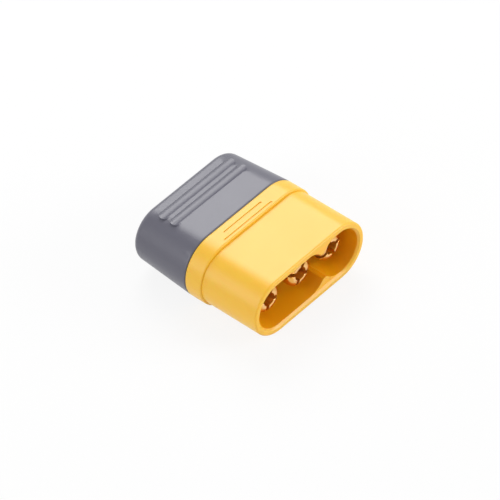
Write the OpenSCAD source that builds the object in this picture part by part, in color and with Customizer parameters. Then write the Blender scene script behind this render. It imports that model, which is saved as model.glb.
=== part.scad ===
// Flat three-pole motor connector: a keyed plug half with three slotted
// bullet contacts, and the slip-on boot that covers its solder cups.
// X runs along the row of contacts, the mouth faces -Y and +Z is up.
// The origin is under the middle, where the collar rests. Millimetres.

/* [Contacts] */
// Distance between the centres of neighbouring contacts
contact_pitch = 5; // [4.9:0.1:5.6]
// Radius of the pin that the mating socket slides over
pin_r = 1.75; // [1.4:0.05:1.85]
// Radius of the flat ring at the very tip of the pin
nose_r = 1.05; // [0.95:0.05:1.35]
// Length over which the tip rounds from the ring to the pin
nose_len = 0.7; // [0.3:0.1:1]
// Radius of the hole drilled in the tip
tip_hole_r = 0.8; // [0.4:0.05:0.85]
// Depth of the hole drilled in the tip
tip_hole_len = 4.6; // [3:0.2:5.4]
// Width of the slits that part the tip into four leaves
slit_w = 0.45; // [0.3:0.05:0.6]
// Depth of the slits from the tip
slit_len = 3.4; // [2:0.1:3.6]
// Turn of each contact's slits about its own axis, in degrees
leaf_turn = [20, 26, -15];
// Radius of the barrel in the housing and of the solder cup behind it
barrel_r = 1.95; // [1.9:0.01:2.05]
// Height of the seating collar and of the gripping ring above the barrel
collar_proud = 0.15; // [0.1:0.01:0.2]
// Thickness of the seating collar and of the gripping ring
collar_t = 0.9; // [0.5:0.1:1.2]
// Inside radius of the solder cup
cup_bore_r = 1.45; // [1.1:0.05:1.6]
// Depth of the solder cup
cup_depth = 3.8; // [2.5:0.1:4.5]
// Length of the solder cup that stands out of the tail
cup_out = 4; // [3:0.1:4.3]
// Length of the open scoop at the end of the solder cup
scoop_len = 1.2; // [0.5:0.1:2]

/* [Plug housing] */
// Radius of the cavity round each contact
chamber_r = 2.9; // [2.5:0.05:3.1]
// Wall of the shell round the cavity
shell_wall = 0.84; // [0.6:0.02:1.2]
// Length of the shell in front of the collar
shell_len = 7.9; // [7:0.1:9]
// Depth of the cavity from the mouth to its floor
cavity_depth = 8.2; // [7.4:0.1:8.6]
// Distance of the contact tips behind the mouth
tip_recess = 1.4; // [0.8:0.1:2]
// Half of the throat that the two keying ridges leave open
key_half_gap = 1.85; // [1.5:0.05:2.3]
// Rounding of the mouth's outer edge
mouth_round = 0.25; // [0.1:0.05:0.6]
// Lead-in chamfer on the mouth's inner edge
mouth_lead = 0.25; // [0.1:0.05:0.45]
// Height of the collar above the shell, at top and bottom
collar_step = 0.36; // [0.2:0.02:0.6]
// Width of the collar beyond the shell, at each end
collar_side_step = 0.2; // [0.1:0.02:0.5]
// Length of the collar along the plug
collar_len = 2.35; // [1.8:0.05:3]
// Rounding of the collar's front edge
collar_round = 0.18; // [0.05:0.01:0.3]
// Rounding of the two edges that meet in the seam of collar and boot
seam_round = 0.2; // [0.05:0.01:0.3]
// Thickness of the cavity's floor in front of the contact's collar
floor_t = 0.8; // [0.5:0.1:1.2]
// Length of the tail that enters the boot
tail_len = 3; // [2.4:0.1:3.6]
// Chamfer round the tail's rear edge
tail_lead = 0.3; // [0.1:0.05:0.5]
// Clearance of the contacts in their seats
seat_gap = 0.03; // [0.01:0.01:0.06]

/* [Line marks] */
// Lengths of the fine grooves on the collar, the front one first
mark_len = [7.6, 6];
// Shift of the grooves towards the first contact
mark_shift = 0.35; // [0:0.05:1]
// Distance of the first groove behind the collar's front face
mark_start = 0.46; // [0.3:0.01:0.8]
// Distance between the grooves
mark_pitch = 0.85; // [0.5:0.01:1]
// Width of a groove
mark_w = 0.28; // [0.1:0.02:0.36]
// Depth of a groove
mark_depth = 0.1; // [0.05:0.01:0.2]

/* [Boot] */
// Length of the boot behind the collar
boot_len = 8.45; // [8.25:0.05:10]
// How far the boot draws in from its front edge to its rear face
boot_draft = 0.54; // [0.2:0.02:0.8]
// Wall at the front of the boot
boot_wall = 0.95; // [0.7:0.05:1.1]
// Thickness of the rear wall that the wires pass through
boot_end_t = 1; // [0.8:0.05:1.4]
// Rounding of the boot's rear edge
boot_round = 0.95; // [0.4:0.05:1.1]
// Clearance between the boot and the tail inside it
slip_gap = 0.2; // [0.1:0.02:0.3]
// Radius of each wire exit
exit_r = 2.3; // [2:0.05:2.4]

/* [Grip bars] */
// Number of bars on the top, and again on the underside
grip_count = 2; // [1:1:2]
// Length of a bar over its round ends
grip_len = 11.7; // [8:0.1:12]
// Width of a bar
grip_w = 1.25; // [0.8:0.05:1.3]
// Height of a bar's round back above the boot's face
grip_h = 0.15; // [0.09:0.01:0.24]
// Radius of a bar's ends, seen from above
grip_end_r = 0.7; // [0.65:0.05:0.8]
// Distance of the first bar's front edge behind the collar
grip_start = 3.8; // [3:0.05:4.4]
// Distance between the front edges of neighbouring bars
grip_pitch = 1.7; // [1.4:0.05:1.8]

/* [Snap] */
// Length of the beads on the tail that hold the boot
bead_len = 6; // [3:0.5:8]
// Radius of a bead's round back
bead_r = 0.35; // [0.25:0.05:0.5]
// Height of a bead above the tail
bead_h = 0.14; // [0.05:0.01:0.18]
// Distance of the beads behind the collar
bead_back = 1.9; // [1.2:0.1:2.2]

/* [Hidden] */
$fn = 96;

shell_r = chamber_r + shell_wall;
flange_r = shell_r + collar_step;
flange_half_w = contact_pitch + shell_r + collar_side_step;
flange_end_x = flange_half_w - flange_r;
mid_z = flange_r;

overall_len = shell_len + collar_len + boot_len;
mouth_y = -overall_len / 2;
step_y = mouth_y + shell_len;
seam_y = step_y + collar_len;
rear_y = seam_y + boot_len;
tip_y = mouth_y + tip_recess;
floor_y = mouth_y + cavity_depth;
seat_y = floor_y + floor_t;
tail_y = seam_y + tail_len;
cup_y = tail_y + cup_out;

collar_r = barrel_r + collar_proud;
seat_r = collar_r + seat_gap;
barrel_hole_r = barrel_r + seat_gap;
boot_cavity_r = flange_r - boot_wall;
tail_r = boot_cavity_r - slip_gap;
boot_cavity_end_y = rear_y - boot_end_t;
boot_cavity_straight = tail_len + slip_gap;
boot_slope = atan(boot_draft / boot_len);
grip_back_r = (grip_w * grip_w / 4 + grip_h * grip_h) / (2 * grip_h);
bead_y = seam_y + bead_back;
bead_z = tail_r + bead_h - bead_r;
cut = 1;

// Where the boot's outside lies at a place along its length
function boot_r_at(y) = flange_r - boot_draft * (y - seam_y) / boot_len;

function contact_x(i) = (i - 1) * contact_pitch;

// A profile of distance from the axis against place along Y, turned round
// both ends and drawn straight between them
module flat_oval(end_x) {
    translate([0, 0, mid_z]) {
        for (side = [0, 180])
            rotate([0, side, 0])
                translate([end_x, 0, 0])
                    rotate([-90, -90, 0])
                        rotate_extrude(angle = 180) children();
        rotate([0, -90, 0])
            linear_extrude(2 * end_x, center = true) {
                children();
                mirror([1, 0]) children();
            }
    }
}

module along_y(y) {
    translate([0, y, mid_z]) rotate([-90, 0, 0]) children();
}

module bar_outline(len, w) {
    square([len - w, w], center = true);
    for (side = [-1, 1]) translate([side * (len - w) / 2, 0]) circle(d = w);
}

// Profiles of the housing

module shell_profile() {
    translate([0, mouth_y]) square([shell_r - mouth_round, mouth_round]);
    translate([0, mouth_y + mouth_round]) square([shell_r, shell_len - mouth_round + cut]);
    translate([shell_r - mouth_round, mouth_y + mouth_round]) circle(mouth_round);
}

module collar_profile() {
    translate([0, step_y]) square([flange_r - collar_round, collar_round]);
    translate([0, step_y + collar_round])
        square([flange_r, collar_len - collar_round - seam_round]);
    translate([0, seam_y - seam_round]) square([flange_r - seam_round, seam_round]);
    translate([flange_r - collar_round, step_y + collar_round]) circle(collar_round);
    translate([flange_r - seam_round, seam_y - seam_round]) circle(seam_round);
}

module tail_profile() {
    polygon([
        [0, seam_y - cut],
        [tail_r, seam_y - cut],
        [tail_r, tail_y - tail_lead],
        [tail_r - tail_lead, tail_y],
        [0, tail_y]
    ]);
}

module mouth_lead_profile() {
    polygon([
        [0, mouth_y - cut],
        [chamber_r + mouth_lead + cut, mouth_y - cut],
        [chamber_r, mouth_y + mouth_lead],
        [0, mouth_y + mouth_lead]
    ]);
}

// The cavity's section: one chamber for two contacts and a round one for the
// third, with a throat between the keying ridges
module keyed_section() {
    translate([-contact_pitch, -chamber_r]) square([contact_pitch, 2 * chamber_r]);
    for (i = [0:2]) translate([contact_x(i), 0]) circle(chamber_r);
    translate([0, -key_half_gap]) square([contact_pitch, 2 * key_half_gap]);
}

module cavity() {
    translate([0, floor_y, mid_z])
        rotate([90, 0, 0])
            linear_extrude(cavity_depth + cut) keyed_section();
}

module contact_seats() {
    for (i = [0:2]) translate([contact_x(i), 0, 0]) {
        along_y(floor_y - cut) cylinder(h = floor_t + 2 * cut, r = barrel_hole_r);
        along_y(seat_y) cylinder(h = tail_y - seat_y + cut, r = seat_r);
    }
}

module line_marks() {
    for (i = [0:len(mark_len) - 1])
        translate([-mark_shift, step_y + mark_start + i * mark_pitch, 2 * mid_z - mark_depth])
            linear_extrude(mark_depth + cut) bar_outline(mark_len[i], mark_w);
}

// The half-round bars across the tail's top and underside
module snap_bars(r) {
    for (side = [-1, 1])
        translate([0, bead_y, mid_z + side * bead_z])
            rotate([0, 90, 0]) cylinder(h = bead_len, r = r, center = true);
}

module housing() {
    color([0.98, 0.77, 0.22]) difference() {
        union() {
            flat_oval(contact_pitch) shell_profile();
            flat_oval(flange_end_x) collar_profile();
            flat_oval(flange_end_x) tail_profile();
            snap_bars(bead_r);
        }
        cavity();
        flat_oval(contact_pitch) mouth_lead_profile();
        contact_seats();
        line_marks();
    }
}

// One turned contact, with its profile read from the tip to the solder cup

module contact_profile() {
    ring_y = tail_y - tail_lead - collar_t;
    polygon([
        [0, tip_y + nose_len],
        [pin_r, tip_y + nose_len],
        [pin_r, floor_y],
        [barrel_r, floor_y],
        [barrel_r, seat_y],
        [collar_r, seat_y],
        [collar_r, seat_y + collar_t],
        [barrel_r, seat_y + collar_t],
        [barrel_r, ring_y],
        [collar_r, ring_y + collar_proud],
        [collar_r, ring_y + collar_t],
        [barrel_r, ring_y + collar_t],
        [barrel_r, cup_y],
        [0, cup_y]
    ]);
}

module nose_profile() {
    intersection() {
        translate([0, tip_y]) square([pin_r, nose_len + cut]);
        union() {
            translate([0, tip_y]) square([nose_r, nose_len + cut]);
            translate([nose_r, tip_y + nose_len]) scale(nose_len) circle(1);
            translate([nose_r, tip_y + nose_len]) square([pin_r - nose_r, cut]);
        }
    }
}

module leaf_slits() {
    for (turn = [0, 90])
        rotate([0, 0, turn])
            translate([-slit_w / 2, -pin_r - cut, -cut])
                cube([slit_w, 2 * (pin_r + cut), slit_len + cut]);
}

module contact(i) {
    color([0.86, 0.64, 0.36]) translate([contact_x(i), 0, 0]) difference() {
        along_y(0) rotate_extrude() {
            contact_profile();
            nose_profile();
        }
        along_y(tip_y - cut) cylinder(h = tip_hole_len + cut, r = tip_hole_r);
        along_y(tip_y) rotate([0, 0, leaf_turn[i]]) leaf_slits();
        along_y(cup_y - cup_depth) cylinder(h = cup_depth + cut, r = cup_bore_r);
        translate([-barrel_r - cut, cup_y - scoop_len, mid_z])
            cube([2 * (barrel_r + cut), scoop_len + cut, barrel_r + cut]);
    }
}

module contact_left() { contact(0); }
module contact_centre() { contact(1); }
module contact_right() { contact(2); }

// How far the boot's outside reaches at the centre of an edge rounding
function round_r_at(y, edge) = boot_r_at(y) - edge / cos(boot_slope);

module boot_profile() {
    front_y = seam_y + seam_round;
    front_r = round_r_at(front_y, seam_round);
    round_y = rear_y - boot_round;
    round_r = round_r_at(round_y, boot_round);
    polygon([
        [0, seam_y],
        [front_r, seam_y],
        [front_r, front_y],
        [front_r + seam_round * cos(boot_slope), front_y + seam_round * sin(boot_slope)],
        [round_r + boot_round * cos(boot_slope), round_y + boot_round * sin(boot_slope)],
        [round_r, round_y],
        [round_r, rear_y],
        [0, rear_y]
    ]);
    translate([front_r, front_y]) circle(seam_round);
    translate([round_r, round_y]) circle(boot_round);
}

module boot_cavity_profile() {
    polygon([
        [0, seam_y - cut],
        [boot_cavity_r, seam_y - cut],
        [boot_cavity_r, seam_y + boot_cavity_straight],
        [boot_r_at(boot_cavity_end_y) - boot_wall, boot_cavity_end_y],
        [0, boot_cavity_end_y]
    ]);
}

module wire_exits() {
    for (i = [0:2]) translate([contact_x(i), 0, 0])
        along_y(boot_cavity_end_y - cut) cylinder(h = boot_end_t + 2 * cut, r = exit_r);
}

// Round-backed bars, sunk in the boot's top and underside
module grip_bars() {
    for (i = [0:grip_count - 1]) {
        y = seam_y + grip_start + grip_w / 2 + i * grip_pitch;
        axis_z = boot_r_at(y) + grip_h - grip_back_r;
        intersection() {
            union() {
                for (side = [-1, 1]) translate([0, y, mid_z + side * axis_z])
                    rotate([0, 90, 0]) cylinder(h = grip_len + cut, r = grip_back_r, center = true);
            }
            translate([0, y, 0]) linear_extrude(2 * mid_z) bar_outline(grip_len, 2 * grip_end_r);
        }
    }
}

module boot() {
    color([0.46, 0.45, 0.5]) difference() {
        union() {
            flat_oval(flange_end_x) boot_profile();
            grip_bars();
        }
        flat_oval(flange_end_x) boot_cavity_profile();
        snap_bars(bead_r + slip_gap);
        wire_exits();
    }
}

housing();
contact_left();
contact_centre();
contact_right();
boot();
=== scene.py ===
import math

import bpy
from mathutils import Matrix, Vector


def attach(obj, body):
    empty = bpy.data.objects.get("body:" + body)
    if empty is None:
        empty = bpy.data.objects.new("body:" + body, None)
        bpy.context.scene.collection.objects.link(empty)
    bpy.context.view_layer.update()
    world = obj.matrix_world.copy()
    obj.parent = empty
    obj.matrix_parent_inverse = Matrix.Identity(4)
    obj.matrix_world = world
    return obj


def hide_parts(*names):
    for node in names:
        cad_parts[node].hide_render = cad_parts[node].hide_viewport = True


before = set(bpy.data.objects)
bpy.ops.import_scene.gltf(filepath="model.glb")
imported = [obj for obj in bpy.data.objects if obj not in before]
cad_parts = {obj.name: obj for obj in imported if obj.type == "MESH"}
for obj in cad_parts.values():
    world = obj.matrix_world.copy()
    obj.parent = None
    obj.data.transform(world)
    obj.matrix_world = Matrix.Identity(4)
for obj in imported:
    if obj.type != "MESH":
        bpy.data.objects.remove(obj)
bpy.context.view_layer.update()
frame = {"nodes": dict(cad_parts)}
mm = 0.001
print("frame loaded:", ", ".join(frame["nodes"]))

pitch = 5 * mm  # from one contact to the next, with the centre one at x = 0
rowHeight = 4.1 * mm  # of the contacts' axes, which run along y


# one socket of a material's node tree, so that masks and sums read as plain maths
class Signal:
    def __init__(self, tree, socket=None):
        self.tree = tree
        self.socket = socket

    def node(self, kind, settings=None, sockets=None, out=0):
        made = self.tree.nodes.new(kind)
        for name, value in (settings or {}).items():
            setattr(made, name, value)
        for name, value in (sockets or {}).items():
            if isinstance(value, Signal):
                self.tree.links.new(value.socket, made.inputs[name])
            else:
                made.inputs[name].default_value = value
        return Signal(self.tree, made.outputs[out] if len(made.outputs) else None)

    def sums(self, operation, first, second):
        return self.node("ShaderNodeMath", {"operation": operation}, {0: first, 1: second})

    def __add__(self, other):
        return self.sums("ADD", self, other)

    def __radd__(self, other):
        return self.sums("ADD", other, self)

    def __sub__(self, other):
        return self.sums("SUBTRACT", self, other)

    def __rsub__(self, other):
        return self.sums("SUBTRACT", other, self)

    def __mul__(self, other):
        return self.sums("MULTIPLY", self, other)

    def __rmul__(self, other):
        return self.sums("MULTIPLY", other, self)

    def __pow__(self, power):
        return self.sums("POWER", self, power)

    def __lt__(self, limit):
        return self.sums("LESS_THAN", self, limit)

    def __or__(self, other):
        return self.sums("MAXIMUM", self, other)

    def __abs__(self):
        return self.sums("ABSOLUTE", self, 0)

    # from 0 at one value to 1 at the other
    def fade(self, start, full):
        return self.node("ShaderNodeMapRange", None,
                         {"Value": self, "From Min": start, "From Max": full})

    # noise that runs from 0 to 1, turned into a swing of this width about zero
    def swing(self, width):
        return (self - 0.5) * width

    # this mask lays one colour over another
    def tint(self, under, over):
        return self.node("ShaderNodeMix", {"data_type": "RGBA"},
                         {"Factor": self, "A": under, "B": over}, "Result")

    def relief(self, height):
        return self.node("ShaderNodeBump", None,
                         {"Height": self, "Strength": 1.0, "Distance": height})

    def split(self):
        parts = self.node("ShaderNodeSeparateXYZ", None, {0: self})
        return [Signal(self.tree, socket) for socket in parts.socket.node.outputs]


def newMaterial(name):
    material = bpy.data.materials.new(name)
    material.use_nodes = True
    material.node_tree.nodes.clear()
    return material, Signal(material.node_tree)


def finishMaterial(net, shader):
    net.node("ShaderNodeOutputMaterial", None, {"Surface": shader})


def partPlace(net):
    return net.node("ShaderNodeTexCoord", out="Object")


# noise with spots of a given size in metres
def speckle(net, size, detail=2.0):
    return net.node("ShaderNodeTexNoise", None,
                    {"Vector": partPlace(net), "Scale": 1 / size, "Detail": detail, "Roughness": 0.55})


# the zone of painted light in the cavity: a deeper orange on the walls behind the rim, fading back to the
# plain colour deeper in
plugMouth = {  # its radii are taken round the line from the left contact to the right one
    "innerRadius": 2.9 * mm, "outerRadius": 3.3 * mm, "rim": -9.35 * mm, "walls": -8.9 * mm,
    "fadeStart": -7 * mm, "fadeEnd": -4 * mm,
}


# painted light on the cavity: 0 on the outside and 1 on the cavity's walls behind the rim, fading out again
# towards its floor; where it is 1 a deeper, redder orange stands in for the light that bounces between the
# walls
def insideMouth(net):
    x, y, z = partPlace(net).split()
    x = (abs(x) - pitch) | 0.0
    z = z - rowHeight
    reach = (x * x + z * z) ** 0.5
    return (reach.fade(plugMouth["outerRadius"], plugMouth["innerRadius"])
            * y.fade(plugMouth["rim"], plugMouth["walls"])
            * (1 - y.fade(plugMouth["fadeStart"], plugMouth["fadeEnd"])))


# the cavity tint of the yellow is painted light, a deeper, redder orange for the light that bounces inside
# the cavity
yellowNylon = {
    "colour": (0.93, 0.54, 0.024, 1), "deep": (0.91, 0.505, 0.018, 1), "inside": (1.0, 0.45, 0.003, 1),
    "roughness": 0.36, "drift": 0.07, "driftSize": 6 * mm, "ior": 1.6,
    "grain": 0.28 * mm, "grainHeight": 0.0022 * mm, "grainGloss": 0.06,
    "glow": 0.25, "glowDepth": 0.6 * mm, "glowTint": (1.0, 0.40, 0.06),  # light that soaks in
}
greyNylon = {
    "colour": (0.102, 0.100, 0.133, 1), "deep": (0.092, 0.090, 0.121, 1),
    "roughness": 0.34, "drift": 0.08, "driftSize": 6 * mm, "ior": 1.6,
    "grain": 0.16 * mm, "grainHeight": 0.0035 * mm, "grainGloss": 0.06,
}


# moulded plastic: a slow drift of tone and gloss under a fine spark-eroded grain
def mouldedPlastic(name, look):
    material, net = newMaterial(name)
    drift = speckle(net, look["driftSize"])
    grain = speckle(net, look["grain"], detail=3.0)
    tone = drift.tint(look["colour"], look["deep"])
    # painted light: the cavity walls behind the rim take the deeper, redder orange
    if "inside" in look:
        tone = insideMouth(net).tint(tone, look["inside"])
    gloss = look["roughness"] + drift.swing(look["drift"]) + grain.swing(look["grainGloss"])
    sockets = {"Base Color": tone, "Roughness": gloss, "Normal": grain.relief(look["grainHeight"]),
               "IOR": look["ior"]}
    if "glow" in look:
        sockets.update({"Subsurface Weight": look["glow"], "Subsurface Scale": look["glowDepth"],
                        "Subsurface Radius": look["glowTint"]})
    finishMaterial(net, net.node("ShaderNodeBsdfPrincipled", None, sockets))
    return material


goldPlate = {  # starts and ends are along y from the part's middle, and the tips point to -y
    "colour": (0.97, 0.60, 0.25, 1), "deep": (0.88, 0.48, 0.18, 1), "deepShare": 0.5,
    "cup": (0.98, 0.76, 0.42, 1), "cupStart": 0, "cupFull": 2 * mm,
    # painted reflection: a dark orange on the rounded shoulder of each tip, for the dark cavity that it
    # mirrors
    "paintedNoseReflection": (0.80, 0.42, 0.10, 1), "noseReflectionEnd": -7 * mm,
    "noseReflectionStart": 0.98 * mm, "noseReflectionFull": 1.25 * mm,
    # painted shade: a dull brown in the bore and the slits near the tip, with a rougher gloss
    "paintedBoreShade": (0.76, 0.40, 0.05, 1), "boreShadeEnd": -4.5 * mm, "boreShadeGloss": 0.3,
    "boreRadius": 0.83 * mm, "slitHalf": 0.24 * mm,
    "roughness": 0.17, "drift": 0.10, "driftSize": 1.5 * mm,
    "tool": 0.09 * mm, "toolHeight": 0.0008 * mm, "toolWander": 0.4,
}
ringScale = 0.314  # a wave texture's scale times the distance from ring to ring


# turned and plated metal: tool rings along the contact's length and a soft tarnish drift,
# with painted shade, a dull brown, in the bore and the slits where little light reaches
def platedMetal(name, look, across, turn):
    material, net = newMaterial(name)
    place = partPlace(net)
    x, y, z = place.split()
    x = x - across
    z = z - rowHeight
    reach = (x * x + z * z) ** 0.5
    slits = ((abs(x * math.cos(turn) - z * math.sin(turn)) < look["slitHalf"])
             | (abs(x * math.sin(turn) + z * math.cos(turn)) < look["slitHalf"]))
    # painted shade: the bore and the slits towards the tip are masked for the dull brown
    paintedBoreShade = ((reach < look["boreRadius"]) | slits) * (y < look["boreShadeEnd"])
    # painted reflection: the ring of the tip's rounded shoulder, between these radii, takes the dark orange
    paintedNoseReflection = reach.fade(look["noseReflectionStart"], look["noseReflectionFull"]) * (y < look["noseReflectionEnd"])
    drift = speckle(net, look["driftSize"])
    rings = net.node("ShaderNodeTexWave", {"bands_direction": "Y"},
                     {"Vector": place, "Scale": ringScale / look["tool"], "Distortion": look["toolWander"]})
    tone = (drift * look["deepShare"]).tint(look["colour"], look["deep"])
    tone = y.fade(look["cupStart"], look["cupFull"]).tint(tone, look["cup"])
    tone = paintedNoseReflection.tint(tone, look["paintedNoseReflection"])
    tone = paintedBoreShade.tint(tone, look["paintedBoreShade"])
    gloss = look["roughness"] + drift.swing(look["drift"]) + paintedBoreShade * look["boreShadeGloss"]
    shader = net.node("ShaderNodeBsdfPrincipled", None, {
        "Base Color": tone, "Roughness": gloss, "Normal": rings.relief(look["toolHeight"]),
        "Metallic": 1.0})
    finishMaterial(net, shader)
    return material


yellow = mouldedPlastic("yellow nylon", yellowNylon)
grey = mouldedPlastic("grey nylon", greyNylon)
print("materials made")

meshCare = {  # flatWithin is in degrees
    "mergeWithin": 0.002 * mm, "flatWithin": 0.4, "segments": 3, "faceWeight": 80,
}


# a CAD node's mesh is loose triangles: this works on a merged copy, with its flats made whole
def mergedCopy(nodeName, pieceName):
    bpy.ops.object.select_all(action="DESELECT")
    source = frame["nodes"][nodeName]
    piece = bpy.data.objects.new(pieceName, source.data.copy())
    bpy.context.collection.objects.link(piece)
    piece.select_set(True)
    bpy.context.view_layer.objects.active = piece
    bpy.ops.object.mode_set(mode="EDIT")
    bpy.ops.mesh.select_all(action="SELECT")
    bpy.ops.mesh.remove_doubles(threshold=meshCare["mergeWithin"])
    bpy.ops.mesh.customdata_custom_splitnormals_clear()
    bpy.ops.mesh.dissolve_limited(angle_limit=math.radians(meshCare["flatWithin"]))
    bpy.ops.object.mode_set(mode="OBJECT")
    return piece


def softenEdges(piece, look):
    bevel = piece.modifiers.new("soft edges", "BEVEL")
    bevel.width = look["edge"]
    bevel.segments = meshCare["segments"]
    bevel.limit_method = "ANGLE"
    bevel.angle_limit = math.radians(look["angle"])
    bevel.use_clamp_overlap = look["clamped"]
    bevel.miter_outer = "MITER_ARC"
    bpy.ops.object.modifier_apply(modifier=bevel.name)
    bpy.ops.object.shade_smooth()
    weighted = piece.modifiers.new("even shading", "WEIGHTED_NORMAL")
    weighted.weight = meshCare["faceWeight"]
    weighted.keep_sharp = True
    bpy.ops.object.modifier_apply(modifier=weighted.name)


def dress(piece, material, body, nodeName):
    piece.data.materials.clear()
    piece.data.materials.append(material)
    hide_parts(nodeName)
    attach(piece, body)


# an edge is softened where it turns by more than the angle, in degrees, and a clamped one only as
# far as its shortest neighbours leave room
plugHousing = {"edge": 0.06 * mm, "angle": 41, "clamped": True}


def makeHousing():
    piece = mergedCopy("housing", "plug_housing")
    softenEdges(piece, plugHousing)
    dress(piece, yellow, "plug", "housing")


bootCover = {"edge": 0.06 * mm, "angle": 52, "clamped": True}


def makeBoot():
    piece = mergedCopy("boot", "slip_on_boot")
    softenEdges(piece, bootCover)
    dress(piece, grey, "boot", "boot")


bulletContact = {
    "edge": 0.05 * mm, "angle": 41, "clamped": False,
    "across": {"left": -pitch, "centre": 0, "right": pitch},
    "turn": {"left": 20, "centre": 26, "right": -15},  # how each one's slits lie, in degrees
}


def makeContact(place):
    piece = mergedCopy("contact_" + place, "bullet_" + place)
    softenEdges(piece, bulletContact)
    gold = platedMetal("gold plate " + place, goldPlate, bulletContact["across"][place],
                       math.radians(bulletContact["turn"][place]))
    dress(piece, gold, "plug", "contact_" + place)


makeHousing()
print("housing made")
makeBoot()
print("boot made")
for place in bulletContact["across"]:
    makeContact(place)
print("contacts made")

pureWhite = (1, 1, 1, 1)


# 1 where the camera, a reflection or glass looks at the studio, and 0 where the studio lights the part
def seenWhite(net):
    return (net.node("ShaderNodeLightPath", out="Is Camera Ray")
            | net.node("ShaderNodeLightPath", out="Is Glossy Ray")
            | net.node("ShaderNodeLightPath", out="Is Transmission Ray"))


floorLook = {"size": 3.0, "drop": 0.01 * mm, "colour": (0.9, 0.9, 0.9, 1), "ownWhite": 0.86}


# paper that takes the shadow, whitened for the camera so that it fades into the background
def makeFloor():
    bpy.ops.object.select_all(action="DESELECT")
    bpy.ops.mesh.primitive_plane_add(size=floorLook["size"], location=(0, 0, -floorLook["drop"]))
    floor = bpy.context.object
    floor.name = "pale_floor"
    material, net = newMaterial("pale floor")
    paper = net.node("ShaderNodeBsdfDiffuse", None, {"Color": floorLook["colour"]})
    bright = net.node("ShaderNodeEmission", None, {"Color": pureWhite, "Strength": 1.0})
    shader = net.node("ShaderNodeMixShader", None,
                      {0: seenWhite(net) * floorLook["ownWhite"], 1: paper, 2: bright})
    finishMaterial(net, shader)
    floor.data.materials.append(material)


skyLook = {"light": 0.45, "seen": 1.0}


def makeSky():
    world = bpy.data.worlds.new("studio")
    world.use_nodes = True
    world.node_tree.nodes.clear()
    net = Signal(world.node_tree)
    strength = skyLook["light"] + seenWhite(net) * (skyLook["seen"] - skyLook["light"])
    sky = net.node("ShaderNodeBackground", None, {"Color": pureWhite, "Strength": strength})
    net.node("ShaderNodeOutputWorld", None, {"Surface": sky})
    bpy.context.scene.world = world


lampLight = {  # place and size in millimetres, power in watts
    "sky": {"at": (150, 170, 230), "size": 210, "watts": 0.57},
    "left": {"at": (-300, 90, 180), "size": 230, "watts": 0.42},
    "front": {"at": (250, -310, 135), "size": 200, "watts": 0.85},
}


def makeLamp(name, lamp):
    at = Vector(lamp["at"]) * mm
    bpy.ops.object.light_add(type="AREA", location=at)
    light = bpy.context.object
    light.name = name + "_lamp"
    light.data.size = lamp["size"] * mm
    light.data.energy = lamp["watts"]
    light.rotation_euler = at.to_track_quat("Z", "Y").to_euler()


cameraView = {  # its angles in degrees, round the point in the middle of the picture
    "azimuth": -43.01, "elevation": 45.06, "roll": 6.08, "distance": 480.8 * mm, "lens": 317.9,
    "aim": (-0.76 * mm, -1.18 * mm, rowHeight), "nearest": 10 * mm,
}


def makeCamera(seen):
    across = math.radians(seen["azimuth"])
    above = math.radians(seen["elevation"])
    roll = math.radians(seen["roll"])
    back = Vector((math.sin(across) * math.cos(above), -math.cos(across) * math.cos(above),
                   math.sin(above)))
    level = Vector((math.cos(across), math.sin(across), 0))
    upright = back.cross(level)
    right = level * math.cos(roll) - upright * math.sin(roll)
    up = level * math.sin(roll) + upright * math.cos(roll)
    bpy.ops.object.camera_add()
    camera = bpy.context.object
    camera.data.lens = seen["lens"]
    camera.data.clip_start = seen["nearest"]
    turn = Matrix((right, up, back)).transposed().to_4x4()
    camera.matrix_world = Matrix.Translation(Vector(seen["aim"]) + back * seen["distance"]) @ turn
    bpy.context.scene.camera = camera


makeFloor()
makeSky()
for name, lamp in lampLight.items():
    makeLamp(name, lamp)
makeCamera(cameraView)
bpy.context.scene.view_settings.view_transform = "Standard"
print("stage, lamps and camera set")
